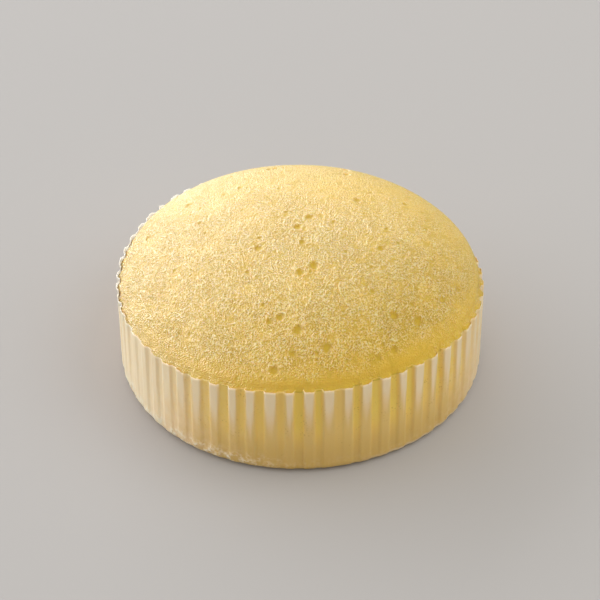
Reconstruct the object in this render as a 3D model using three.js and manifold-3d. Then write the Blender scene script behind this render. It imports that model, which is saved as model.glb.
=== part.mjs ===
// A steamed egg cake in its pleated paper case. The sponge fills the case, swells over its rim and rises to a dome.
// Lengths are millimetres and angles degrees. +Z is up and the front is towards -Y. A bearing is the angle round
// +Z from +X, so the front is at 270. The origin is the centre of the case's flat underside.
import * as THREE from "three";
import { mergeVertices } from "three/addons/utils/BufferGeometryUtils.js";
import Module from "manifold-3d";

// Paper case
const FLOOR_RADIUS = 46.5; // edge of the flat underside
const CORNER_HEIGHT = 2.6; // rounded corner between the floor and the wall
const FOOT_RADIUS = 49.4; // pleat crests at the top of that corner
const RIM_RADIUS = 49.2; // pleat crests at the rim
const RIM_HEIGHT = 26.5; // mean height of the rim
const RIM_TILT = 1.4; // the rim rises by this much towards its tilt bearing
const RIM_TILT_BEARING = 275;
const RIM_BEND = 1.2; // and bends up by this much at its bend bearing and opposite it
const RIM_BEND_BEARING = 304;
const PAPER = 0.35; // thickness of the paper
const CLEARANCE = 0.3; // between the paper and the sponge

// Pleats of the case
const PLEATS = 60;
const PITCH = 360 / PLEATS;
const FIRST_VALLEY = 0.4; // bearing of the middle of the first valley
const VALLEY_WIDTH = 0.28 * PITCH; // flat bottom of a valley
const CREST_WIDTH = 0.4 * PITCH; // flat top of a crest
const FOOT_PLEAT = 0.35; // depth of the valleys at the foot of the wall
const RIM_PLEAT = 1.8; // and at the rim
const FOLD_STRAY = 0.04 * PITCH; // how far a fold strays from its even place
const DEPTH_STRAY = 0.12; // how much a valley's depth strays, as a share
const OPEN_VALLEY = 47; // this valley has sprung almost level with the crests beside it
const OPEN_VALLEY_DEPTH = 0.35;

// Plan of the case and the sponge, as shares of a radius
const OVAL = 0.016; // drawn out along the oval bearing
const OVAL_BEARING = -21;
const LOBES = 0.009; // and faintly three-lobed
const LOBES_BEARING = -4;

// Sponge
const NECK_HOLLOW = 1.4; // empty depth behind a crest at the rim
const WAIST_HOLLOW = 0.4; // and half way down the wall
const LIP_RADIUS = 47.4; // underside of the swelling over the rim
const LIP_RISE = 0.6; // and its height above the rim
const EDGE_RADIUS = 47.6; // where the dome springs
const EDGE_HEIGHT = 28;
const EDGE_TILT = 1.4; // the dome springs higher towards its tilt bearing
const EDGE_TILT_BEARING = 318;
const EDGE_LEAST_RISE = 1.1; // least height of that edge above the rim
const APEX_HEIGHT = 44.4;
const APEX_SHIFT = 4; // the top leans towards +X
const FLATNESS = 2.7; // a higher power makes the top flatter
const SHOULDER = 0.83; // a lower power makes the edge steeper
const DOME_RINGS = 8;

// Pores on the dome, each with its bearing, its distance from the axis and its width
const PORES = [
  [107, 3.5, 2.2],
  [194, 4.5, 2.4],
  [248, 8, 2],
  [271, 16.5, 3],
  [260, 19, 2.6],
  [212, 17, 2.2],
  [226, 24, 1.6],
  [334, 19.5, 2.2],
  [257, 33, 2.2],
  [253, 34.5, 1.8],
  [266, 36, 3],
  [307, 37, 2.6],
  [315, 41, 3],
  [330, 40.5, 2],
  [278, 40.5, 3],
  [266, 41.5, 1.8],
  [302, 44.5, 2.4],
  [296, 45, 2],
  [261, 45, 2.6],
  [168, 43, 2.4],
];
const BACK_PORES = 8; // more of them, strewn over the back
const BACK_BEARINGS = [15, 165];
const BACK_DISTANCES = [9, 42];
const BACK_WIDTHS = [1.5, 2.8];
const PORE_DEPTH = 0.3; // depth of a pore as a share of its width
const SEED = 60;

const SPONGE_COLOR = 0xf0d682;
const SPONGE_ROUGHNESS = 0.85;
const PAPER_COLOR = 0xead9ae;
const PAPER_ROUGHNESS = 0.6;

const { degToRad, lerp, seededRandom } = THREE.MathUtils;

// The share of a wave with so many peaks that stands at a bearing, the first peak being at the peak bearing.
function wave(bearing, peak, peaks) {
  return Math.cos(degToRad((bearing - peak) * peaks));
}

function polar(bearing, radius, height) {
  const outOfRound = 1 + OVAL * wave(bearing, OVAL_BEARING, 2) + LOBES * wave(bearing, LOBES_BEARING, 3);
  const angle = degToRad(bearing);
  return new THREE.Vector3(Math.cos(angle), Math.sin(angle), 0).multiplyScalar(radius * outOfRound).setZ(height);
}

function rimLift(bearing) {
  return RIM_TILT * wave(bearing, RIM_TILT_BEARING, 1) + RIM_BEND * wave(bearing, RIM_BEND_BEARING, 2);
}

function edgeHeight(bearing) {
  const tilted = EDGE_HEIGHT + EDGE_TILT * wave(bearing, EDGE_TILT_BEARING, 1);
  return Math.max(tilted, RIM_HEIGHT + rimLift(bearing) + EDGE_LEAST_RISE);
}

// A point of the dome at a bearing and a distance from the axis, which is EDGE_RADIUS where the dome springs.
function domePoint(bearing, distance) {
  const share = Math.pow(Math.max(0, 1 - Math.pow(distance / EDGE_RADIUS, FLATNESS)), SHOULDER);
  const point = polar(bearing, distance, lerp(edgeHeight(bearing), APEX_HEIGHT, share));
  point.x += APEX_SHIFT * share;
  return point;
}

// The folds round the case, in order of bearing: each valley's two, then the two of the crest after it.
// Valley is the depth of the fold, from 0 on a crest to about 1 in a valley.
function foldsRound() {
  const folds = [];
  const stray = (most) => most * (2 * seededRandom() - 1);
  seededRandom(SEED);
  for (let pleat = 0; pleat < PLEATS; pleat++) {
    const valley = pleat === OPEN_VALLEY ? OPEN_VALLEY_DEPTH : 1 + stray(DEPTH_STRAY);
    const middle = FIRST_VALLEY + pleat * PITCH + stray(FOLD_STRAY);
    const crest = FIRST_VALLEY + (pleat + 0.5) * PITCH + stray(FOLD_STRAY);
    folds.push({ bearing: middle - VALLEY_WIDTH / 2, valley });
    folds.push({ bearing: middle + VALLEY_WIDTH / 2, valley });
    folds.push({ bearing: crest - CREST_WIDTH / 2, valley: 0 });
    folds.push({ bearing: crest + CREST_WIDTH / 2, valley: 0 });
  }
  return folds;
}

const folds = foldsRound();

// A ring of the case or of the sponge inside it. Radius is the crests', pleat is the depth of the valleys, hollow is
// how far the sponge draws back from the crests, and lift is how far the ring follows the rise of the rim.
function pleatedRing({ radius, height, pleat = 0, hollow = 0, lift = 0 }) {
  return ({ bearing, valley }) => {
    const inset = Math.max(pleat * valley, hollow);
    return polar(bearing, radius - inset, height + lift * rimLift(bearing));
  };
}

// A closed skin through rings that run from the axis out and back to the axis, each a function of the fold.
function skin(rings) {
  const outline = rings.map((ring) => {
    const start = ring(folds[0]);
    return new THREE.Vector2(Math.hypot(start.x, start.y), start.z);
  });
  const geometry = new THREE.LatheGeometry(outline, folds.length);
  const { position } = geometry.attributes;
  for (let turn = 0; turn <= folds.length; turn++) {
    rings.forEach((ring, level) => {
      const { x, y, z } = ring(folds[turn % folds.length]);
      position.setXYZ(turn * rings.length + level, x, y, z);
    });
  }
  geometry.deleteAttribute("normal");
  geometry.deleteAttribute("uv");
  return mergeVertices(geometry);
}

// The rings of one face of the case, from its floor to its rim, drawn in from the outer face by an inset.
function caseFace(inset) {
  const halfWay = Math.SQRT1_2;
  const corner = {
    radius: lerp(FLOOR_RADIUS, FOOT_RADIUS, halfWay) - inset,
    height: CORNER_HEIGHT * (1 - halfWay) + inset * halfWay,
    pleat: FOOT_PLEAT / 2,
  };
  const foot = { radius: FOOT_RADIUS - inset, height: CORNER_HEIGHT, pleat: FOOT_PLEAT };
  const waist = {
    radius: lerp(FOOT_RADIUS, RIM_RADIUS, 0.5) - inset,
    height: lerp(CORNER_HEIGHT, RIM_HEIGHT, 0.5),
    pleat: lerp(FOOT_PLEAT, RIM_PLEAT, 0.5),
    lift: 0.5,
  };
  const rim = { radius: RIM_RADIUS - inset, height: RIM_HEIGHT, pleat: RIM_PLEAT, lift: 1 };
  const floor = { radius: FLOOR_RADIUS - inset / 2, height: inset };
  return { centre: { radius: 0, height: inset }, floor, corner, foot, waist, rim };
}

function paperCase() {
  const outside = Object.values(caseFace(0));
  const inside = Object.values(caseFace(PAPER)).reverse();
  return skin([...outside, ...inside].map(pleatedRing));
}

function bareSponge() {
  const { centre, floor, foot, waist, rim } = caseFace(PAPER + CLEARANCE);
  const hollowWaist = { ...waist, hollow: WAIST_HOLLOW };
  const neck = { ...rim, height: rim.height + CLEARANCE, hollow: NECK_HOLLOW };
  const lip = { radius: LIP_RADIUS, height: RIM_HEIGHT + LIP_RISE, lift: 1 };
  const inCase = [centre, floor, foot, hollowWaist, neck, lip].map(pleatedRing);
  const dome = Array.from({ length: DOME_RINGS + 1 }, (_, ring) => {
    const distance = EDGE_RADIUS * Math.cos((ring / DOME_RINGS) * (Math.PI / 2));
    return ({ bearing }) => domePoint(bearing, ring < DOME_RINGS ? distance : 0);
  });
  return skin([...inCase, ...dome]);
}

// The ball whose cap, sunk in the dome, leaves a round pore.
function poreBall(bearing, distance, width) {
  const depth = PORE_DEPTH * width;
  const radius = (width * width) / (8 * depth) + depth / 2;
  const nudge = 0.5;
  const place = domePoint(bearing, distance);
  const outwards = domePoint(bearing, distance + nudge).sub(domePoint(bearing, distance - nudge));
  const sideways = domePoint(bearing + nudge, distance).sub(domePoint(bearing - nudge, distance));
  const up = outwards.cross(sideways).normalize();
  const ball = new THREE.IcosahedronGeometry(radius, 1);
  ball.deleteAttribute("normal");
  ball.deleteAttribute("uv");
  const centre = place.addScaledVector(up, radius - depth);
  return mergeVertices(ball.translate(centre.x, centre.y, centre.z));
}

function allPores() {
  seededRandom(SEED);
  const draw = ([least, most]) => lerp(least, most, seededRandom());
  const back = Array.from({ length: BACK_PORES }, () => [BACK_BEARINGS, BACK_DISTANCES, BACK_WIDTHS].map(draw));
  return [...PORES, ...back];
}

const wasm = await Module();
wasm.setup();

function solidOf(geometry) {
  const vertProperties = new Float32Array(geometry.attributes.position.array);
  const triVerts = new Uint32Array(geometry.index.array);
  return new wasm.Manifold(new wasm.Mesh({ numProp: 3, vertProperties, triVerts }));
}

function geometryOf(solid) {
  const { vertProperties, triVerts } = solid.getMesh();
  return new THREE.BufferGeometry()
    .setAttribute("position", new THREE.BufferAttribute(vertProperties, 3))
    .setIndex(new THREE.BufferAttribute(triVerts, 1));
}

function sponge() {
  const pitted = allPores().reduce(
    (solid, pore) => solid.subtract(solidOf(poreBall(...pore))),
    solidOf(bareSponge()),
  );
  return geometryOf(pitted);
}

function namedMesh(name, geometry, color, roughness) {
  const mesh = new THREE.Mesh(geometry, new THREE.MeshStandardMaterial({ color, roughness, metalness: 0 }));
  mesh.name = name;
  return mesh;
}

const part = new THREE.Group();
part.add(namedMesh("cake", sponge(), SPONGE_COLOR, SPONGE_ROUGHNESS));
part.add(namedMesh("paper_case", paperCase(), PAPER_COLOR, PAPER_ROUGHNESS));

export default part;
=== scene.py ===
"""A steamed egg cake in its pleated paper case, dressed over the packed solids.

The sponge is a dome with pores, open bubbles and a smooth skirt above the case, and the case is one
pleated sheet of paper. Each is grown by a Geometry Nodes tree whose inputs are the sizes of the property
groups. Lengths are metres, +Z is up, and a bearing is the angle round +Z from +X, so the front is at
270 degrees.
"""

from math import cos, pi, radians, sin, tau
from types import SimpleNamespace

import bmesh
import bpy
from bpy.props import FloatProperty, FloatVectorProperty, IntProperty, PointerProperty
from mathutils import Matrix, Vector


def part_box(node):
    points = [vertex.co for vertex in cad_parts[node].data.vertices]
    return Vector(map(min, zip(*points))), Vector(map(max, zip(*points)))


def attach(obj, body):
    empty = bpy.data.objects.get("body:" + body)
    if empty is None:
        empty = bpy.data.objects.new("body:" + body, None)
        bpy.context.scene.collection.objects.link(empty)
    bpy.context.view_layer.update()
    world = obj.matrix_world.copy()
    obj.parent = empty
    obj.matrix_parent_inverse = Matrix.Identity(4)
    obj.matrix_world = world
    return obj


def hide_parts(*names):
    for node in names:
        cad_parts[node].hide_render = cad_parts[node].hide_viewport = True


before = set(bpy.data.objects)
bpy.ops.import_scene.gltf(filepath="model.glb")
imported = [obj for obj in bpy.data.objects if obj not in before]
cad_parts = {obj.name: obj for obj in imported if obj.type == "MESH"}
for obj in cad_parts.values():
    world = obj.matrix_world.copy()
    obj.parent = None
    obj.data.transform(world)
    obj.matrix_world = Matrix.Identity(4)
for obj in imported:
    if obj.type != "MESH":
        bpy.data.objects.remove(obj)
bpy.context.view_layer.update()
CAKE_LOW, CAKE_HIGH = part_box("cake")

bl_info = {
    "name": "Steamed egg cake",
    "version": (1, 0, 0),
    "blender": (4, 5, 0),
    "location": "View3D > Sidebar > Steamed cake",
    "description": "Makes a steamed egg cake in its pleated paper case",
    "category": "Add Mesh",
}

MM = 0.001

# Mean of the value that a pattern of cells gives
CELL_MEAN = 0.45

# Relief of the dome: patches of stronger grain, and the skirt's soft border
PATCH_SIZE = 8 * MM
PATCH_DETAIL = 5.0
SKIRT_ENDS = 4.5 * MM
SKIRT_FULL = -1.5 * MM

# Ragged outline of a pore, with its floor, edge and lip as shares of its half width
RAGGED_SIZE = 1.2 * MM
PORE_FLOOR = 0.45
PORE_EDGE = 1.2
LIP_EDGE = 1.7

# Share of the grain that the skirt and the pores smooth away
SMOOTHING = 0.8

# Step out from the dome to the ring under it, and the gaps that close at the middle of each underside
BROW_STEP = 0.1 * MM
SPONGE_CLOSING = 0.01 * MM
CASE_CLOSING = 0.005 * MM

# Power of the height by which the tips of the case flare and stray
TIP_POWER = 8

# Crumb of the sponge's material
CRUMB_BUBBLE = 0.44 * MM
CRUMB_POINT = 0.4 * MM
CRUMB_CLOUD = 5 * MM
CRUMB_BUMP = 0.6 * MM
# The crumb's contrast also sets how much darker the bubbles' pits are painted, as painted shade, and how much
# lighter their walls, as painted highlight
CRUMB_CONTRAST = 2.7
SHEEN_TINT = (1.0, 0.9, 0.8, 1.0)

# Fibres, mottling, specks and crumples of the paper's material, and the painted glints on the crumples
FIBRE_SIZE = 0.6 * MM
MOTTLE_SIZE = 2.5 * MM
SPECK_SIZE = 0.8 * MM
SPECK_CLOUD = 4 * MM
CRUMPLE_POINT = 0.7 * MM

# Pores that show on the dome: bearing in degrees, distance from the axis and width in millimetres
PORES = [
    (107, 3.5, 2.2),
    (194, 4.5, 2.4),
    (248, 8, 2),
    (271, 16.5, 3),
    (260, 19, 2.6),
    (212, 17, 2.2),
    (226, 24, 1.6),
    (334, 19.5, 2.2),
    (257, 33, 2.2),
    (253, 34.5, 1.8),
    (266, 36, 3),
    (307, 37, 2.6),
    (315, 41, 3),
    (330, 40.5, 2),
    (278, 40.5, 3),
    (266, 41.5, 1.8),
    (302, 44.5, 2.4),
    (296, 45, 2),
    (261, 45, 2.6),
    (168, 43, 2.4),
]
BACK_PORES = 8
BACK_BEARINGS = (15, 165)
BACK_DISTANCES = (9, 42)
BACK_WIDTHS = (1.5, 2.8)
BACK_SEED = 60


# Property helpers


def linear(code):
    """The linear colour of an sRGB code such as 0xF0D682."""
    shares = [(code >> shift & 255) / 255 for shift in (16, 8, 0)]
    return tuple(c / 12.92 if c <= 0.04045 else ((c + 0.055) / 1.055) ** 2.4 for c in shares)


def length(name, millimetres, description):
    return FloatProperty(
        name=name, description=description, default=millimetres * MM, subtype="DISTANCE", precision=5
    )


def angle(name, degrees, description):
    return FloatProperty(name=name, description=description, default=radians(degrees), subtype="ANGLE")


def share(name, default, description):
    return FloatProperty(name=name, description=description, default=default, precision=3)


def count(name, default, description):
    return IntProperty(name=name, description=description, default=default, min=0)


def power(name, watts, description):
    return FloatProperty(name=name, description=description, default=watts, unit="POWER")


def color(name, code, description):
    return FloatVectorProperty(
        name=name, description=description, default=linear(code), size=3, subtype="COLOR", min=0, max=1
    )


class CaseSizes(bpy.types.PropertyGroup):
    """Sizes of the paper case, and the plan that it shares with the sponge."""

    floor_radius: length("Floor radius", 46.5, "Edge of the flat underside")
    corner_height: length("Corner height", 2.6, "Height of the round corner between floor and wall")
    foot_radius: length("Foot radius", 49.4, "Pleat crests at the foot of the wall")
    rim_radius: length("Rim radius", 49.2, "Pleat crests at the rim")
    rim_height: length("Rim height", 26.5, "Mean height of the rim")
    rim_tilt: length("Rim tilt", 1.4, "How much the rim rises towards its tilt bearing")
    rim_tilt_bearing: angle("Rim tilt bearing", 275, "Where the rim is tilted up")
    rim_bend: length("Rim bend", 1.2, "How much the rim bends up at two opposite sides")
    rim_bend_bearing: angle("Rim bend bearing", 304, "Where the rim bends up")
    oval: share("Oval", 0.016, "How far the plan is drawn out, as a share of a radius")
    oval_bearing: angle("Oval bearing", -21, "Where the plan is drawn out")
    lobes: share("Lobes", 0.009, "How far the plan is three-lobed, as a share of a radius")
    lobes_bearing: angle("Lobes bearing", -4, "Where the first lobe is")
    pleats: count("Pleats", 60, "Pleats round the case")
    first_valley: angle("First valley", 0.4, "Bearing of the middle of the first valley")
    valley_half: share("Valley half width", 0.15, "Half of a valley's flat bottom, as a share of a pleat")
    flank: share("Flank", 0.15, "Width of the slope between valley and crest, as a share of a pleat")
    foot_pleat: length("Foot pleat", 0.35, "Depth of the valleys at the foot")
    rim_pleat: length("Rim pleat", 1.05, "Depth of the valleys at the rim")
    fold_stray: share("Fold stray", 0.07, "How far a fold strays from its even place, as a share of a pleat")
    depth_stray: share("Depth stray", 0.35, "How far a valley's depth strays, as a share")
    full_bearing: angle(
        "Full bearing", 296, "Middle of the side on which the sponge fills the crests up to the rim"
    )
    easing: share("Easing", 0.5, "How much shallower the valleys are where they are eased most, as a share")
    easing_bearing: angle("Easing bearing", 203, "Where that is")
    open_valley: count("Open valley", 47, "The valley that has sprung almost level with its crests")
    open_depth: share("Open valley depth", 0.35, "Depth that this valley keeps, as a share")
    seed: count("Seed", 60, "Seed of the strays")


class PaperLooks(bpy.types.PropertyGroup):
    """Make and finish of the case's paper."""

    points_per_pleat: count("Points per pleat", 16, "Points of the sheet across one pleat")
    floor_rows: count("Floor rows", 2, "Rows of faces on the floor")
    corner_rows: count("Corner rows", 6, "Rows of faces round the corner")
    wall_rows: count("Wall rows", 32, "Rows of faces up the wall")
    crinkle: length("Crinkle", 0.12, "How far the paper buckles out of its fold")
    crinkle_size: length("Crinkle size", 3.5, "Size of the buckles")
    crumple: length("Crumple", 0.4, "How far the paper is crumpled at the foot")
    crumple_size: length("Crumple size", 1.8, "Size of those crumples")
    crumple_reach: share(
        "Crumple reach", 0.17, "Height up to which the foot is crumpled, as a share of the wall"
    )
    crumple_bearing: angle("Crumple bearing", 222, "Where the foot is crumpled most")
    # The pale line along the foot is a painted highlight on its fold
    foot_highlight_bearing: angle("Line bearing", 335, "Where the foot has a pale line instead")
    tab_half: share(
        "Tab half width", 0.215, "Half of the dry tab on a crest at the rim, as a share of a pleat"
    )
    tab_taper: share("Tab taper", 0.3, "How much narrower a tab would be at the foot, as a share")
    tab_round: share("Tab round", 0.16, "How much a tab's end is rounded, as a share of the wall")
    # The pale folds along a tab are partly real and partly painted highlight, heavier on the side of each tab
    # that the light falls on
    crease_and_highlight: share(
        "Crease", 0.035, "Half width of the pale crease on either side of a tab, as a share of a pleat"
    )
    tip_flare: length("Tip flare", 0.3, "How far the tips of the crests flare on the side that is not filled")
    rim_stray: length("Rim stray", 0.25, "How far the cut rim strays up or down in a pleat")
    thickness: length("Thickness", 0.1, "Thickness of the paper")
    cling: share(
        "Cling", 0.36, "Height up the crests to which the paper clings to the sponge, as a share of the wall"
    )
    cling_lean: share(
        "Cling lean", 0.24, "How much higher it clings towards the cling bearing, and lower opposite"
    )
    cling_bearing: angle("Cling bearing", 292, "Where the paper clings highest")
    soak_bearing: angle("Soak bearing", 284, "Where the paper is soaked most")
    cling_blur: share(
        "Cling blur", 0.24, "How softly the paper parts from the sponge, as a share of the wall"
    )
    cling_stray: share("Cling stray", 0.1, "How far that height strays from crest to crest")
    dry: color("Dry paper", 0xFBDDB6, "Paper that stands clear of the sponge")
    # Pale colour of the folds, and of the painted highlights along the foot, the painted glints on the
    # crumples and the painted glow of the unfilled tips
    crease_and_highlight_color: color("Creased paper", 0xFFEED6, "Paper along the creases and crumples")
    soaked: color("Soaked paper", 0xFFD470, "Paper pressed on the sponge in the valleys")
    damp: color("Damp paper", 0xE6C57E, "Paper that clings to the sponge low on the wall")
    # Also used for the painted shade that darkens the wall towards the foot
    fleck_and_foot_shade: color("Fleck", 0xC09A4A, "Bubbles of the sponge that show through the paper")


class SpongeSizes(bpy.types.PropertyGroup):
    """Sizes of the sponge's dome and its relief."""

    rows: count("Rows", 292, "Points across the sheet that becomes the dome")
    edge_radius: length("Edge radius", 47.6, "Where the dome springs")
    edge_height: length("Edge height", 28, "Height of that edge")
    edge_tilt: length("Edge tilt", 1.4, "How much the edge rises towards its tilt bearing")
    edge_tilt_bearing: angle("Edge tilt bearing", 318, "Where the edge is tilted up")
    edge_least_rise: length("Least rise", 1.1, "Least height of the edge above the rim")
    edge_blend: length("Edge blend", 0.6, "How softly that least height takes over")
    apex_height: length("Apex height", CAKE_HIGH.z / MM, "Height of the top")
    apex_shift: length("Apex shift", 4, "How far the top leans towards +X")
    flatness: share("Flatness", 2.7, "A higher power makes the top flatter")
    shoulder: share("Shoulder", 0.83, "A lower power makes the edge steeper")
    pore_depth: share("Pore depth", 0.12, "Depth of a pore, as a share of its width")
    pore_lip: share("Pore lip", 0.05, "Height of the lip round a pore, as a share of its width")
    pinhole_gap: length("Pinhole gap", 5, "Least gap between the small pores strewn over the dome")
    pinhole_density: share("Pinhole density", 12000, "Small pores strewn on a square metre")
    pinhole_least: length("Least pinhole", 0.7, "Width of the smallest of them")
    pinhole_most: length("Widest pinhole", 1.4, "Width of the widest")
    pool_size: length("Pool size", 2.6, "Size of the smooth pools among the bubbles")
    lump: length("Lumps", 0.07, "Height of the low lumps of the dome")
    lump_size: length("Lump size", 13, "Size of those lumps")
    grain: length("Grain", 0.19, "Depth of the open bubbles of the crumb")
    bubble: length("Bubble", 0.65, "Size of those bubbles")
    open_bearing: angle("Open bearing", 255, "Towards where the crumb is more open")
    open_from: length("Open from", -30, "Distance from the axis that way at which it starts to open")
    open_to: length("Open to", 10, "Distance at which it is open")
    closed: share("Closed crumb", 0.4, "Strength of the grain where the crumb has closed")
    skirt: length("Skirt", 1.5, "Width of the smooth skirt above the case at its widest")
    skirt_bearing: angle("Skirt bearing", 296, "Where the skirt is widest")
    skirt_stray: length("Skirt stray", 7, "How far the skirt's border wanders")
    rim_gap: length("Rim gap", 0.1, "How far under the rim the sponge fills the pleats")
    rim_drop: length("Rim drop", 0.9, "How much lower it fills them on the other side")
    swell: length("Swell", 0.12, "How far the sponge swells over the rim in the valleys")
    swell_height: length("Swell height", 1.8, "How far under the rim it is back inside the paper")
    inset: length("Inset", 0.18, "How far the sponge's sides stay inside the outer face of the paper")
    floor_height: length("Floor height", CAKE_LOW.z / MM, "Height of the sponge's underside")
    strew_seed: count("Strew seed", 7, "Seed of the small pores")


class SpongeLooks(bpy.types.PropertyGroup):
    """Colours of the sponge."""

    # Walls and pits are partly the crumb's own colours and partly painted highlight on the walls and painted
    # shade in the pits
    wall: color("Bubble wall", 0xFFDA6E, "Thin walls between the bubbles")
    # Painted highlight: white sparkles on the brightest walls and on the pores' lips
    painted_sparkle: color("Spark", 0xFFECE0, "Brightest points of the walls and of the pores' lips")
    pit: color("Bubble pit", 0xD8AE1C, "Bottoms of the bubbles")
    pore: color("Pore", 0xD4AE2A, "Smooth skin inside a pore")
    skirt: color("Skirt", 0xE4BC36, "Smooth skin of the skirt")


class StageLooks(bpy.types.PropertyGroup):
    """Camera, light and floor."""

    aim: FloatVectorProperty(
        name="Aim",
        description="The point that the camera looks at",
        default=(0.36 * MM, 28.11 * MM, -6.0 * MM),
        size=3,
        subtype="TRANSLATION",
    )
    distance: length("Distance", 575.6, "Distance of the camera from that point")
    elevation: angle("Elevation", 40.55, "How far the camera looks down")
    lens: FloatProperty(
        name="Lens", description="Focal length on a 36 mm sensor", default=117.6, subtype="DISTANCE_CAMERA"
    )
    lamp_distance: length("Lamp distance", 1200, "Distance of the panels of light")
    key_bearing: angle("Key bearing", 141, "Where the main panel stands")
    key_elevation: angle("Key elevation", 20, "How high its middle stands")
    key_width: length("Key width", 3000, "Width of the main panel")
    key_height: length("Key height", 900, "Height of the main panel")
    key_power: power("Key power", 25, "Power of the main panel")
    key_color: color("Key color", 0xF1F5FF, "Cool white of the main panel")
    glint_bearing: angle("Glint bearing", 156, "Where a panel stands that only the gloss sees")
    glint_elevation: angle("Glint elevation", 15, "How high its middle stands")
    glint_power: power("Glint power", 66, "Power of that panel")
    glint_color: color("Glint color", 0xFFF0EA, "Warm white of that panel")
    side_bearing: angle("Side bearing", 34, "Where a smaller panel stands that only the gloss sees")
    side_elevation: angle("Side elevation", 12, "How high its middle stands")
    side_power: power("Side power", 4, "Its power")
    fill_bearing: angle("Fill bearing", 352, "Where the second panel stands")
    fill_elevation: angle("Fill elevation", 50, "How high its middle stands")
    fill_width: length("Fill width", 1000, "Width and height of the second panel")
    fill_power: power("Fill power", 5.2, "Power of the second panel")
    sky_strength: share("Sky strength", 0.715, "Brightness of the even light all round")
    floor: color("Floor", 0xB4B0AB, "Pale floor")
    floor_width: length("Floor width", 6000, "Width of the floor")


# Node trees


class Wire:
    """An output of a node that takes arithmetic, so that a tree's formulas read as formulas."""

    def __init__(self, nodes, socket):
        self.nodes = nodes
        self.socket = socket

    def __add__(self, other):
        return self.nodes.math("ADD", self, other)

    __radd__ = __add__

    def __sub__(self, other):
        return self.nodes.math("SUBTRACT", self, other)

    def __rsub__(self, other):
        return self.nodes.math("SUBTRACT", other, self)

    def __mul__(self, other):
        return self.nodes.math("MULTIPLY", self, other)

    __rmul__ = __mul__

    def __truediv__(self, other):
        return self.nodes.math("DIVIDE", self, other)

    def __rtruediv__(self, other):
        return self.nodes.math("DIVIDE", other, self)

    def __pow__(self, power):
        return self.nodes.math("POWER", self, power)


class Nodes:
    """A node tree being built. Each call adds a node and gives back one of its outputs."""

    def __init__(self, tree):
        self.tree = tree

    @staticmethod
    def socket(sockets, key):
        """The usable socket with this name or place."""
        usable = [s for s in sockets if not s.is_unavailable]
        return usable[key] if isinstance(key, int) else next(s for s in usable if s.name == key)

    def feed(self, socket, value):
        if isinstance(value, Wire):
            self.tree.links.new(value.socket, socket)
        else:
            socket.default_value = value

    def node(self, kind, inputs, settings):
        """A new node of a kind, with these settings and with its inputs fed by name or place."""
        made = self.tree.nodes.new(kind)
        for name, value in settings.items():
            setattr(made, name, value)
        for key, value in inputs.items():
            self.feed(self.socket(made.inputs, key), value)
        return made

    def out(self, made, key=0):
        return Wire(self, self.socket(made.outputs, key))

    def add(self, kind, inputs=None, output=0, **settings):
        """A new node's output."""
        return self.out(self.node(kind, inputs or {}, settings), output)

    def math(self, operation, *values):
        return self.add("ShaderNodeMath", dict(enumerate(values)), operation=operation)

    def ramp(self, value, low, high, kind="SMOOTHSTEP"):
        """0 where the value is at low or past it, and 1 at high or past it."""
        inputs = {"Value": value, "From Min": low, "From Max": high}
        return self.add("ShaderNodeMapRange", inputs, interpolation_type=kind)

    def mix(self, factor, first, second):
        """The first colour where the factor is 0, the second where it is 1."""
        inputs = {"Factor": factor, "A": first, "B": second}
        return self.add("ShaderNodeMix", inputs, data_type="RGBA")

    def noise(self, place, size, detail=2.0):
        """Soft noise about 0.5, with lumps of a size."""
        inputs = {"Vector": place, "Scale": 1 / size, "Detail": detail}
        return self.add("ShaderNodeTexNoise", inputs)

    def cells(self, place, size, randomness=1.0):
        """Cells of a size: a value that rises from 0 at a cell's middle to its walls."""
        inputs = {"Vector": place, "Scale": 1 / size, "Randomness": randomness}
        return self.add("ShaderNodeTexVoronoi", inputs)

    def split(self, vector):
        """The three parts of a vector."""
        made = self.node("ShaderNodeSeparateXYZ", {"Vector": vector}, {})
        return [self.out(made, axis) for axis in range(3)]

    def join(self, x, y, z):
        return self.add("ShaderNodeCombineXYZ", {"X": x, "Y": y, "Z": z})

    def vector_math(self, operation, *values, output=0):
        return self.add("ShaderNodeVectorMath", dict(enumerate(values)), output, operation=operation)


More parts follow.
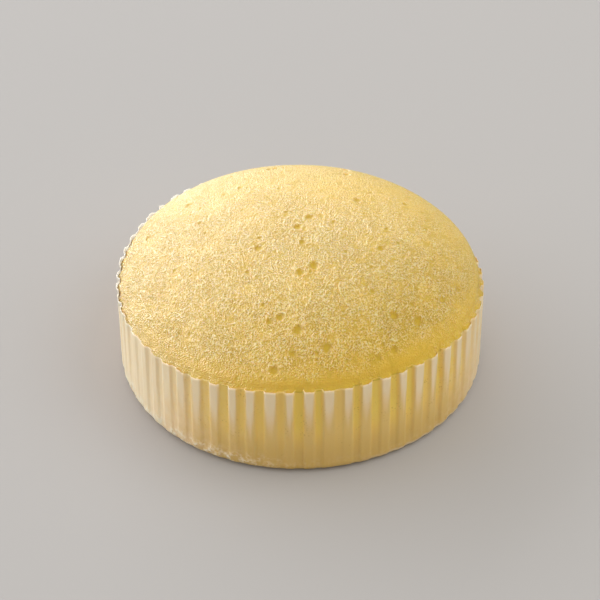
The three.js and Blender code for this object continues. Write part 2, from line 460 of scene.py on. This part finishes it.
class Form(Nodes):
    """A Geometry Nodes tree with a named input for each size in its property groups."""

    SOCKETS = {"FLOAT": "NodeSocketFloat", "INT": "NodeSocketInt"}

    def __init__(self, name, *groups):
        super().__init__(bpy.data.node_groups.new(name, "GeometryNodeTree"))
        interface = self.tree.interface
        interface.new_socket("Geometry", in_out="INPUT", socket_type="NodeSocketGeometry")
        interface.new_socket("Geometry", in_out="OUTPUT", socket_type="NodeSocketGeometry")
        entry = self.tree.nodes.new("NodeGroupInput")
        self.settings = {}
        wires = {}
        for group in groups:
            for key in type(group).__annotations__:
                prop = group.bl_rna.properties[key]
                if getattr(prop, "is_array", False):
                    continue
                socket = interface.new_socket(prop.name, in_out="INPUT", socket_type=self.SOCKETS[prop.type])
                socket.subtype = prop.subtype
                self.settings[socket.identifier] = getattr(group, key)
                wires[key] = Wire(self, entry.outputs[-2])
        self.start = Wire(self, entry.outputs["Geometry"])
        self.sizes = SimpleNamespace(**wires)

    def position(self):
        return self.add("GeometryNodeInputPosition")

    def place(self, geometry, position, selection=True):
        inputs = {"Geometry": geometry, "Selection": selection, "Position": position}
        return self.add("GeometryNodeSetPosition", inputs)

    def scaled(self, vector, scale):
        made = self.node("ShaderNodeVectorMath", {0: vector}, {"operation": "SCALE"})
        self.feed(self.socket(made.inputs, "Scale"), scale)
        return self.out(made)

    def store(self, geometry, name, value):
        """Keeps a value on the geometry's points under a name, for the material."""
        inputs = {"Geometry": geometry, "Name": name, "Value": value}
        return self.add("GeometryNodeStoreNamedAttribute", inputs)

    def stored(self, name):
        return self.add("GeometryNodeInputNamedAttribute", {"Name": name})

    def draw(self, least, most, number, seed):
        """An even draw for each number."""
        inputs = {"Min": least, "Max": most, "ID": number, "Seed": seed}
        return self.add("FunctionNodeRandomValue", inputs)

    def finish(self, geometry, material):
        """Ends the tree with the geometry smooth, whole and painted."""
        smooth = self.add("GeometryNodeSetShadeSmooth", {"Geometry": geometry})
        real = self.add("GeometryNodeRealizeInstances", {"Geometry": smooth})
        painted = self.add("GeometryNodeSetMaterial", {"Geometry": real, "Material": material})
        leave = self.tree.nodes.new("NodeGroupOutput")
        self.feed(leave.inputs["Geometry"], painted)

    def grow(self, name, mesh):
        """A piece whose plain mesh is what the tree makes of a mesh."""
        piece = bpy.data.objects.new(name, mesh)
        modifier = piece.modifiers.new(self.tree.name, "NODES")
        modifier.node_group = self.tree
        for identifier, value in self.settings.items():
            modifier[identifier] = value
        bpy.context.scene.collection.objects.link(piece)
        grown = piece.evaluated_get(bpy.context.evaluated_depsgraph_get())
        piece.data = bpy.data.meshes.new_from_object(grown)
        piece.data.name = name
        painted = piece.data.materials[-1]
        piece.data.materials.clear()
        piece.data.materials.append(painted)
        piece.modifiers.clear()
        bpy.data.meshes.remove(mesh)
        return piece


# Plan of the cake


def wave(form, bearing, peak, peaks=1):
    """A wave with so many peaks round the cake, the first at the peak bearing."""
    return form.math("COSINE", (bearing - peak) * peaks)


def out_of_round(form, bearing):
    """The radius of the plan at a bearing, as a share of a round one's."""
    s = form.sizes
    drawn_out = s.oval * wave(form, bearing, s.oval_bearing, 2)
    lobed = s.lobes * wave(form, bearing, s.lobes_bearing, 3)
    return 1 + drawn_out + lobed


def rim_height(form, bearing):
    s = form.sizes
    tilt = s.rim_tilt * wave(form, bearing, s.rim_tilt_bearing)
    bend = s.rim_bend * wave(form, bearing, s.rim_bend_bearing, 2)
    return s.rim_height + tilt + bend


def polar(form, bearing, radius, height):
    reach = radius * out_of_round(form, bearing)
    return form.join(reach * form.math("COSINE", bearing), reach * form.math("SINE", bearing), height)


def bearing_of(form, position):
    x, y, _ = form.split(position)
    return form.math("ARCTAN2", y, x)


def pleats_at(form, bearing):
    """The pleats at a bearing: depth, the valley's number, distance from the crest, and the side.

    The depth is 0 on a crest and about 1 in a valley, and the side is 1 past the valley and -1 before it.
    """
    s = form.sizes
    turn = (bearing - s.first_valley) * s.pleats / tau + 0.5
    number = form.math("FLOORED_MODULO", form.math("FLOOR", turn), s.pleats)
    middle = form.draw(-1, 1, number, s.seed) * s.fold_stray + 0.5
    half = s.valley_half + form.draw(-1, 1, number, s.seed + 1) * s.fold_stray
    past = form.math("FRACT", turn) - middle
    across = form.math("ABSOLUTE", past)
    strayed = 1 + form.draw(-1, 1, number, s.seed + 2) * s.depth_stray
    sprung = form.math("COMPARE", number, s.open_valley, 0.5)
    eased = 1 - s.easing * form.ramp(wave(form, bearing, s.easing_bearing), 0.2, 0.9)
    depth = (strayed + sprung * (s.open_depth - strayed)) * eased
    return depth * form.ramp(across, half + s.flank, half), number, 0.5 - across, form.math("SIGN", past)


def filled(form, bearing):
    """1 on the side on which the sponge fills the crests up to the rim, and 0 opposite."""
    return form.ramp(wave(form, bearing, form.sizes.full_bearing), -0.45, 0.1)


# Sponge


def draws(seed):
    """Even draws from 0 to 1 by the mulberry32 rule, which strews the same pores over the solid."""
    whole = 0xFFFFFFFF
    while True:
        seed = (seed + 0x6D2B79F5) & whole
        drawn = ((seed ^ seed >> 15) * (seed | 1)) & whole
        drawn ^= (drawn + (drawn ^ drawn >> 7) * (drawn | 61)) & whole
        yield (drawn ^ drawn >> 14) / (whole + 1)


def all_pores():
    """The pores that show, and more of them strewn over the back."""
    draw = draws(BACK_SEED)
    next(draw)
    spans = (BACK_BEARINGS, BACK_DISTANCES, BACK_WIDTHS)
    back = [tuple(low + (high - low) * next(draw) for low, high in spans) for _ in range(BACK_PORES)]
    return PORES + back


def pore_points(edge_radius):
    """A mesh of loose points, one at each pore on a disc of radius 1, with the pores' widths."""
    pores = all_pores()
    reach = MM / edge_radius
    points = [
        (distance * reach * cos(radians(bearing)), distance * reach * sin(radians(bearing)), 0)
        for bearing, distance, _ in pores
    ]
    mesh = bpy.data.meshes.new("pores")
    mesh.from_pydata(points, [], [])
    widths = mesh.attributes.new("width", "FLOAT", "POINT")
    widths.data.foreach_set("value", [width * MM for _, _, width in pores])
    return mesh


def disc(form):
    """A square sheet of even faces drawn out to a disc of radius 1."""
    s = form.sizes
    inputs = {"Size X": 2.0, "Size Y": 2.0, "Vertices X": s.rows, "Vertices Y": s.rows}
    sheet = form.add("GeometryNodeMeshGrid", inputs)
    a, b, _ = form.split(form.position())
    wide = form.math("GREATER_THAN", form.math("ABSOLUTE", a), form.math("ABSOLUTE", b))
    turn_a = b / a * (pi / 4)
    turn_b = a / b * (pi / 4)
    x = wide * a * form.math("COSINE", turn_a) + (1 - wide) * b * form.math("SINE", turn_b)
    y = wide * a * form.math("SINE", turn_a) + (1 - wide) * b * form.math("COSINE", turn_b)
    return form.place(sheet, form.join(x, y, 0.0))


def dome_position(form):
    """Where a point of the disc lies on the dome, and how far out it is."""
    s = form.sizes
    spot = form.position()
    bearing = bearing_of(form, spot)
    out = form.vector_math("LENGTH", spot, output="Value")
    rise = form.math("MAXIMUM", 1 - out**s.flatness, 0.0) ** s.shoulder
    edge = edge_height(form, bearing)
    flat = polar(form, bearing, out * s.edge_radius, edge + (s.apex_height - edge) * rise)
    return form.vector_math("ADD", flat, form.join(s.apex_shift * rise, 0.0, 0.0)), out


def edge_height(form, bearing):
    s = form.sizes
    tilted = s.edge_height + s.edge_tilt * wave(form, bearing, s.edge_tilt_bearing)
    least = rim_height(form, bearing) + s.edge_least_rise
    return form.math("SMOOTH_MAX", tilted, least, s.edge_blend)


def strewn_pores(form, dome):
    """Small pores strewn over the dome, as loose points with their widths."""
    s = form.sizes
    inputs = {
        "Mesh": dome,
        "Distance Min": s.pinhole_gap,
        "Density Max": s.pinhole_density,
        "Density Factor": 1.0,
        "Seed": s.strew_seed,
    }
    points = form.add("GeometryNodeDistributePointsOnFaces", inputs, distribute_method="POISSON")
    index = form.add("GeometryNodeInputIndex")
    width = form.draw(s.pinhole_least, s.pinhole_most, index, s.strew_seed)
    return form.store(form.add("GeometryNodePointsToVertices", {"Points": points}), "width", width)


def nearest_pore(form, pores):
    """The distance to the nearest pore, as a share of its half width, and the pore's width."""
    spot = form.position()
    index = form.add("GeometryNodeSampleNearest", {"Geometry": pores, "Sample Position": spot})
    stored_width = {"Geometry": pores, "Value": form.stored("width"), "Index": index}
    width = form.add("GeometryNodeSampleIndex", stored_width)
    centre = form.add(
        "GeometryNodeSampleIndex",
        {"Geometry": pores, "Value": spot, "Index": index},
        data_type="FLOAT_VECTOR",
    )
    gap = form.vector_math("DISTANCE", spot, centre, output="Value")
    return gap / (width * 0.5), width


def relief(form, pores):
    """The height of the dome's relief at a point, and the values that colour it."""
    s = form.sizes
    spot = form.position()
    bearing = bearing_of(form, spot)
    patches = form.noise(spot, PATCH_SIZE, PATCH_DETAIL)
    reach, width = nearest_pore(form, pores)
    ragged = reach + form.noise(spot, RAGGED_SIZE) - 0.5
    pore = form.ramp(ragged, PORE_EDGE, PORE_FLOOR)
    lip = form.ramp(ragged, LIP_EDGE, PORE_EDGE) * (1 - pore)
    facing = 0.5 + 0.5 * wave(form, bearing, s.skirt_bearing)
    stray = (patches - 0.5) * s.skirt_stray * 2 * form.ramp(facing, 0.75, 0.95)
    skirt_width = s.skirt * (facing * 6 - 5) + stray
    from_edge = (1 - form.stored("out")) * s.edge_radius
    skirt = form.ramp(from_edge - skirt_width, SKIRT_ENDS, SKIRT_FULL)
    bubble = form.cells(spot, s.bubble)
    towards = form.join(form.math("COSINE", s.open_bearing), form.math("SINE", s.open_bearing), 0.0)
    along = form.vector_math("DOT_PRODUCT", spot, towards, output="Value")
    opened = s.closed + (1 - s.closed) * form.ramp(along, s.open_from, s.open_to)
    strength = (form.ramp(patches, 0.34, 0.58) * 0.3 + 0.7) * opened
    pools = form.ramp(form.noise(spot, s.pool_size), 0.55, 0.7) * 0.7
    smooth = form.math("MAXIMUM", pore, pools)
    unskinned = 1 - skirt * SMOOTHING
    bare = unskinned * (1 - smooth * SMOOTHING)
    grain = (bubble - CELL_MEAN) * strength * bare
    lumps = form.noise(spot, s.lump_size) - 0.5
    height = lumps * s.lump * 2 + grain * s.grain * 2 + width * (lip * s.pore_lip - pore * s.pore_depth)
    marks = {
        "bare": bare * strength,
        "pore": smooth,
        "skirt": skirt,
        # The lip mark only carries the painted highlight on the pores' lips
        "lip": lip * unskinned,
    }
    return height, marks


def skirt_ring(form, mesh, top, radius, height):
    """Draws the last ring of edges out to a new ring, and gives back the mesh and the new ring's edges."""
    inputs = {"Mesh": mesh, "Selection": top, "Offset Scale": 0.0}
    made = form.node("GeometryNodeExtrudeMesh", inputs, {"mode": "EDGES"})
    new_top = form.out(made, "Top")
    bearing = bearing_of(form, form.position())
    ring = polar(form, bearing, radius(bearing), height(bearing))
    return form.place(form.out(made, "Mesh"), ring, new_top), new_top


def sponge_tree(case, sizes, material):
    form = Form("Sponge", case, sizes)
    s = form.sizes
    on_dome, out = dome_position(form)
    dome = form.place(form.store(disc(form), "out", out), on_dome)
    shown_pores = form.place(form.start, on_dome)
    joined = form.node("GeometryNodeJoinGeometry", {}, {})
    for pores in (strewn_pores(form, dome), shown_pores):
        form.feed(joined.inputs["Geometry"], pores)
    height, marks = relief(form, form.out(joined))
    for name, value in marks.items():
        dome = form.store(dome, name, value)
    normal = form.add("GeometryNodeInputNormal")
    mesh = form.add("GeometryNodeSetPosition", {"Geometry": dome, "Offset": form.scaled(normal, height)})
    neighbours = form.add("GeometryNodeInputMeshEdgeNeighbors")
    top = form.math("COMPARE", neighbours, 1.0, 0.1)

    def in_pleats(crest, depth, height):
        return lambda bearing: crest - s.inset - depth * pleats_at(form, bearing)[0], height

    def level(radius, height):
        return lambda bearing: radius, lambda bearing: height

    def brow(bearing):
        return (edge_height(form, bearing) + rim_height(form, bearing)) * 0.5

    def at_rim(bearing):
        deep = pleats_at(form, bearing)[0]
        return s.rim_radius - s.inset - deep * (s.rim_pleat - s.inset - s.swell * filled(form, bearing))

    def fill_height(bearing):
        return rim_height(form, bearing) - s.rim_gap - (1 - filled(form, bearing)) * s.rim_drop

    def under_rim(drop):
        return lambda bearing: rim_height(form, bearing) - drop

    rings = [
        (lambda bearing: s.edge_radius + BROW_STEP, brow),
        (at_rim, fill_height),
        in_pleats(s.rim_radius, s.rim_pleat, under_rim(s.swell_height)),
        in_pleats(s.foot_radius, s.foot_pleat, lambda bearing: s.corner_height),
        level(s.floor_radius - s.inset, s.floor_height),
        level(0.0, s.floor_height),
    ]
    for radius, ring_height in rings:
        mesh, top = skirt_ring(form, mesh, top, radius, ring_height)
    inputs = {"Geometry": mesh, "Selection": top, "Distance": SPONGE_CLOSING}
    closed = form.add("GeometryNodeMergeByDistance", inputs)
    form.finish(closed, material)
    return form


# Paper case


def case_tree(sizes, looks, material):
    form = Form("Pleated case", sizes, looks)
    s = form.sizes
    rows = s.floor_rows + s.corner_rows + s.wall_rows
    inputs = {
        "Vertices": s.pleats * s.points_per_pleat,
        "Side Segments": rows,
        "Radius": 1.0,
        "Depth": 1.0,
    }
    sheet = form.add("GeometryNodeMeshCylinder", inputs, fill_type="NONE")
    spot = form.position()
    bearing = bearing_of(form, spot)
    _, _, up = form.split(spot)
    row = (up + 0.5) * rows
    floor = form.ramp(row, 0.0, s.floor_rows, "LINEAR")
    corner = form.ramp(row, s.floor_rows, s.floor_rows + s.corner_rows, "LINEAR")
    wall = form.ramp(row, s.floor_rows + s.corner_rows, rows, "LINEAR")
    bend = corner * (pi / 2)
    deep, number, off_crest, side = pleats_at(form, bearing)
    pleat = corner * s.foot_pleat + wall * (s.rim_pleat - s.foot_pleat)
    radius = (
        s.floor_radius * floor
        + (s.foot_radius - s.floor_radius) * form.math("SINE", bend)
        + (s.rim_radius - s.foot_radius) * wall
        - pleat * deep
    )
    flare = s.tip_flare * wall**TIP_POWER * (1 - filled(form, bearing)) * (1 - deep)
    stray = form.draw(-1, 1, number, s.seed + 3) * s.rim_stray * wall**TIP_POWER
    height = s.corner_height * (1 - form.math("COSINE", bend)) + wall * (
        rim_height(form, bearing) - s.corner_height
    )
    around = form.join(bearing * s.foot_radius, wall * s.rim_height * 0.4, 0.0)
    buckle = (form.noise(around, s.crinkle_size) - 0.5) * s.crinkle * 2 * corner
    crumpled_side = form.ramp(wave(form, bearing, s.crumple_bearing), 0.65, 0.97) * 0.88 + 0.12
    crumpled = form.ramp(wall, s.crumple_reach, 0.0) * corner * crumpled_side
    creased = form.noise(form.join(bearing * s.foot_radius, height, 0.0), s.crumple_size)
    crumple = (creased - 0.5) * s.crumple * 2 * crumpled
    cling_side = wave(form, bearing, s.cling_bearing)
    cling = s.cling + s.cling_lean * cling_side + form.draw(-1, 1, number, s.seed + 4) * s.cling_stray
    half = s.tab_half * (1 - s.tab_taper * (1 - wall))
    parted = wall - s.tab_round * (off_crest / half) ** 2
    clear = form.ramp(parted, cling - s.cling_blur, cling + s.cling_blur)
    # Painted highlight: the pale fold along each tab is heavier on the side that the light falls on
    lit_crease_side = 0.5 - 0.5 * side * form.math("COSINE", bearing)
    soak = form.ramp(wave(form, bearing, s.soak_bearing), 0.25, 1.0)
    # Painted highlight: a pale line along the foot's fold on one side
    foot_highlight_side = form.ramp(wave(form, bearing, s.foot_highlight_bearing), 0.6, 0.95)
    foot_highlight = form.ramp(form.math("ABSOLUTE", corner - 0.75), 0.25, 0.0) * foot_highlight_side
    fold = form.ramp(form.math("ABSOLUTE", off_crest - half), s.crease_and_highlight, 0.0) * clear * lit_crease_side
    marks = {
        "pressed": form.ramp(deep, 0.1, 1.0, "LINEAR") * form.ramp(wall, 0.05, 0.6),
        "tab": form.ramp(off_crest, half + 0.04, half - 0.03) * clear,
        "crease_and_highlight": fold + foot_highlight,
        "soak": soak,
        # The crumpled mark also paints glints on the crumples, as painted highlight, besides bumping them
        "crumpled": crumpled * form.ramp(creased, 0.4, 0.62),
        # Painted glow: the unfilled tips are painted pale as if light came through them
        "tip": form.ramp(wall, 0.86, 1.0) * (1 - filled(form, bearing)),
        # Painted shade: the wall darker towards the foot
        "low": form.ramp(wall, 0.5, 0.0),
    }
    for name, value in marks.items():
        sheet = form.store(sheet, name, value)
    pleated = form.place(sheet, polar(form, bearing, radius + flare + buckle + crumple, height + stray))
    closed = form.add("GeometryNodeMergeByDistance", {"Geometry": pleated, "Distance": CASE_CLOSING})
    form.finish(closed, material)
    return form


# Materials


def new_material(name):
    """A material with its nodes and its one shader."""
    material = bpy.data.materials.new(name)
    material.use_nodes = True
    nodes = Nodes(material.node_tree)
    shader = material.node_tree.nodes["Principled BSDF"]
    return material, nodes, shader


def attribute(nodes, name):
    """A value that the piece's tree stored on its points."""
    return nodes.add("ShaderNodeAttribute", output="Fac", attribute_name=name)


def rgba(color):
    return (*color, 1.0)


def sponge_material(looks):
    material, nodes, shader = new_material("steamed_sponge")
    spot = nodes.add("ShaderNodeTexCoord", output="Object")
    bare = attribute(nodes, "bare")
    pore = attribute(nodes, "pore")
    bubbles = nodes.cells(spot, CRUMB_BUBBLE, 0.8)
    fine = nodes.noise(spot, CRUMB_POINT, 0.0)
    broad = nodes.noise(spot, CRUMB_CLOUD)
    grain = bubbles + (fine - 0.5) * 0.8
    # The tone follows the bubbles' relief: pits painted darker as painted shade and walls lighter as painted
    # highlight, over the crumb's own colour
    tone = 0.42 + (grain - CELL_MEAN + (broad - 0.5) * 0.25) * bare * CRUMB_CONTRAST
    crumb = nodes.mix(nodes.ramp(tone, 0.0, 1.0, "LINEAR"), rgba(looks.pit), rgba(looks.wall))
    # Painted highlight: sparkles on the pores' lips and on the brightest walls
    sparkle = attribute(nodes, "lip") * nodes.ramp(grain, CELL_MEAN, 0.8) * 0.4
    bright = nodes.math("MAXIMUM", nodes.ramp(tone, 0.6, 1.1, "LINEAR") * 0.3, sparkle)
    lit = nodes.mix(bright, crumb, rgba(looks.painted_sparkle))
    skinned = nodes.mix(attribute(nodes, "skirt") * 0.8, lit, rgba(looks.skirt))
    pored = nodes.mix(pore, skinned, rgba(looks.pore))
    bump = nodes.add("ShaderNodeBump", {"Height": grain * bare, "Strength": 1.0, "Distance": CRUMB_BUMP})
    nodes.feed(shader.inputs["Base Color"], pored)
    nodes.feed(shader.inputs["Normal"], bump)
    nodes.feed(shader.inputs["Coat Normal"], bump)
    nodes.feed(shader.inputs["Roughness"], 0.55 - (bubbles - CELL_MEAN) * 0.5 + pore * 0.25)
    shader.inputs["IOR"].default_value = 1.5
    shader.inputs["Specular IOR Level"].default_value = 0.6
    shader.inputs["Coat Weight"].default_value = 0.5
    shader.inputs["Coat Roughness"].default_value = 0.38
    shader.inputs["Sheen Weight"].default_value = 0.3
    shader.inputs["Sheen Roughness"].default_value = 0.4
    shader.inputs["Sheen Tint"].default_value = SHEEN_TINT
    shader.inputs["Subsurface Weight"].default_value = 0.7
    shader.inputs["Subsurface Radius"].default_value = (1.0, 0.75, 0.35)
    shader.inputs["Subsurface Scale"].default_value = 1.0 * MM
    return material


def paper_material(looks):
    material, nodes, shader = new_material("soft_paper")
    spot = nodes.add("ShaderNodeTexCoord", output="Object")
    fibre = nodes.noise(spot, FIBRE_SIZE)
    mottle = (nodes.noise(spot, MOTTLE_SIZE) - 0.5) * 0.4
    specks = nodes.ramp(nodes.cells(spot, SPECK_SIZE), 0.4, 0.1)
    flecks = specks * nodes.ramp(nodes.noise(spot, SPECK_CLOUD), 0.45, 0.7)
    tab = attribute(nodes, "tab")
    tip = attribute(nodes, "tip")
    crumpled = attribute(nodes, "crumpled")
    golden = nodes.mix(attribute(nodes, "pressed"), rgba(looks.damp), rgba(looks.soaked))
    # Painted shade darkens the wall towards the foot, along with the flecks
    fleck_and_foot_shade_mask = nodes.math("MAXIMUM", flecks * 0.6, attribute(nodes, "low") * 0.4)
    flecked_and_foot_shade = nodes.mix(fleck_and_foot_shade_mask, golden, rgba(looks.fleck_and_foot_shade))
    ground = nodes.mix(nodes.ramp(attribute(nodes, "soak") + mottle, 0.0, 1.0), rgba(looks.dry), flecked_and_foot_shade)
    tabbed = nodes.mix(nodes.ramp(tab + mottle * tab, 0.0, 0.9, "LINEAR"), ground, rgba(looks.dry))
    # Painted highlight: glints on the crumples at the foot
    sparkle = nodes.noise(spot, CRUMPLE_POINT)
    # Painted glow: the unfilled tips are painted pale as if light came through them
    painted_glints_and_glow = nodes.math("MAXIMUM", crumpled * nodes.ramp(sparkle, 0.35, 0.6), tip * 0.9)
    # The pale folds are partly real and partly painted highlight
    pale = nodes.math("MAXIMUM", attribute(nodes, "crease_and_highlight") * 0.7, painted_glints_and_glow)
    nodes.feed(shader.inputs["Base Color"], nodes.mix(pale, tabbed, rgba(looks.crease_and_highlight_color)))
    height = fibre * 0.02 + sparkle * crumpled * 0.25
    bump = nodes.add("ShaderNodeBump", {"Height": height, "Strength": 1.0, "Distance": 1.0 * MM})
    nodes.feed(shader.inputs["Normal"], bump)
    nodes.feed(shader.inputs["Roughness"], 0.5 - pale * 0.15)
    shader.inputs["Subsurface Weight"].default_value = 1.0
    shader.inputs["Subsurface Radius"].default_value = (1.0, 1.0, 1.0)
    nodes.feed(shader.inputs["Subsurface Scale"], (0.12 + tip * 0.45) * MM)
    return material


def floor_material(looks):
    material, _, shader = new_material("pale_floor")
    shader.inputs["Base Color"].default_value = rgba(looks.floor)
    shader.inputs["Roughness"].default_value = 0.7
    shader.inputs["Specular IOR Level"].default_value = 0.0
    return material


# Operators


def settle(piece, node):
    """Faces the piece's skin outwards and sets the piece on the frame in place of a node."""
    skin = bmesh.new()
    skin.from_mesh(piece.data)
    bmesh.ops.recalc_face_normals(skin, faces=skin.faces)
    skin.to_mesh(piece.data)
    skin.free()
    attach(piece, "root")
    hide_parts(node)


class STEAMED_CAKE_OT_sponge(bpy.types.Operator):
    """Make the sponge with its pored dome"""

    bl_idname = "steamed_cake.sponge"
    bl_label = "Sponge"

    def execute(self, context):
        scene = context.scene
        form = sponge_tree(scene.cake_case, scene.cake_sponge, sponge_material(scene.cake_sponge_looks))
        settle(form.grow("sponge", pore_points(scene.cake_sponge.edge_radius)), "cake")
        return {"FINISHED"}


class STEAMED_CAKE_OT_case(bpy.types.Operator):
    """Make the pleated paper case"""

    bl_idname = "steamed_cake.case"
    bl_label = "Paper case"

    def execute(self, context):
        scene = context.scene
        looks = scene.cake_paper
        form = case_tree(scene.cake_case, looks, paper_material(looks))
        piece = form.grow("pleated_case", bpy.data.meshes.new("start"))
        settle(piece, "paper_case")
        solid = piece.modifiers.new("Paper thickness", "SOLIDIFY")
        solid.thickness = looks.thickness
        solid.offset = -1
        return {"FINISHED"}


class STEAMED_CAKE_OT_stage(bpy.types.Operator):
    """Make the floor, the light and the camera"""

    bl_idname = "steamed_cake.stage"
    bl_label = "Stage"

    def execute(self, context):
        looks = context.scene.cake_stage
        self.make_floor(context, looks)
        self.make_light(context, looks)
        self.make_camera(context, looks)
        context.scene.view_settings.view_transform = "Standard"
        return {"FINISHED"}

    def make_floor(self, context, looks):
        half = looks.floor_width / 2
        mesh = bpy.data.meshes.new("floor")
        corners = [(-half, -half, 0), (half, -half, 0), (half, half, 0), (-half, half, 0)]
        mesh.from_pydata(corners, [], [range(4)])
        mesh.materials.append(floor_material(looks))
        floor = bpy.data.objects.new("floor", mesh)
        context.scene.collection.objects.link(floor)
        floor.visible_glossy = False

    def make_light(self, context, looks):
        key = self.add_panel(context, "key", looks.key_width, looks.key_height, looks.key_power)
        self.aim_panel(key, looks.key_bearing, looks.key_elevation, looks.lamp_distance)
        key.data.color = looks.key_color
        glint = self.add_panel(context, "glint", looks.key_width, looks.key_height, looks.glint_power)
        self.aim_panel(glint, looks.glint_bearing, looks.glint_elevation, looks.lamp_distance)
        glint.data.color = looks.glint_color
        side = self.add_panel(context, "side", looks.fill_width, looks.fill_width, looks.side_power)
        self.aim_panel(side, looks.side_bearing, looks.side_elevation, looks.lamp_distance)
        for panel in (glint, side):
            panel.visible_diffuse = False
        fill = self.add_panel(context, "fill", looks.fill_width, looks.fill_width, looks.fill_power)
        self.aim_panel(fill, looks.fill_bearing, looks.fill_elevation, looks.lamp_distance)
        fill.visible_glossy = False
        world = bpy.data.worlds.new("even_light")
        context.scene.world = world
        world.use_nodes = True
        world.node_tree.nodes["Background"].inputs["Color"].default_value = (1, 1, 1, 1)
        world.node_tree.nodes["Background"].inputs["Strength"].default_value = looks.sky_strength
        world.cycles_visibility.glossy = False

    def add_panel(self, context, name, width, height, watts):
        """A soft panel of light."""
        data = bpy.data.lights.new(name, "AREA")
        data.energy = watts
        data.shape = "RECTANGLE"
        data.size = width
        data.size_y = height
        panel = bpy.data.objects.new(name, data)
        context.scene.collection.objects.link(panel)
        return panel

    def aim_panel(self, panel, bearing, elevation, distance):
        """Stands a panel off at a bearing and turns it to the cake."""
        flat = cos(elevation)
        towards = Vector((flat * cos(bearing), flat * sin(bearing), sin(elevation)))
        panel.location = towards * distance
        panel.rotation_euler = towards.to_track_quat("Z", "Y").to_euler()

    def make_camera(self, context, looks):
        data = bpy.data.cameras.new("camera")
        data.lens = looks.lens
        data.sensor_width = 36
        camera = bpy.data.objects.new("camera", data)
        back = Vector((0, -cos(looks.elevation), sin(looks.elevation)))
        camera.location = Vector(looks.aim) + back * looks.distance
        camera.rotation_euler = back.to_track_quat("Z", "Y").to_euler()
        context.scene.collection.objects.link(camera)
        context.scene.camera = camera


class STEAMED_CAKE_PT_panel(bpy.types.Panel):
    bl_label = "Steamed egg cake"
    bl_idname = "STEAMED_CAKE_PT_panel"
    bl_space_type = "VIEW_3D"
    bl_region_type = "UI"
    bl_category = "Steamed cake"

    def draw(self, context):
        for operator in OPERATORS:
            self.layout.operator(operator.bl_idname)
        for name, group in GROUPS.items():
            box = self.layout.box()
            box.label(text=group.__doc__)
            for key in group.__annotations__:
                box.prop(getattr(context.scene, name), key)


OPERATORS = (STEAMED_CAKE_OT_sponge, STEAMED_CAKE_OT_case, STEAMED_CAKE_OT_stage)
GROUPS = {
    "cake_case": CaseSizes,
    "cake_paper": PaperLooks,
    "cake_sponge": SpongeSizes,
    "cake_sponge_looks": SpongeLooks,
    "cake_stage": StageLooks,
}
CLASSES = (*GROUPS.values(), *OPERATORS, STEAMED_CAKE_PT_panel)


def register():
    for made in CLASSES:
        bpy.utils.register_class(made)
    for name, group in GROUPS.items():
        setattr(bpy.types.Scene, name, PointerProperty(type=group))


def unregister():
    for name in GROUPS:
        delattr(bpy.types.Scene, name)
    for made in reversed(CLASSES):
        bpy.utils.unregister_class(made)


def main():
    register()
    bpy.ops.steamed_cake.sponge()
    bpy.ops.steamed_cake.case()
    bpy.ops.steamed_cake.stage()


if __name__ == "__main__":
    main()
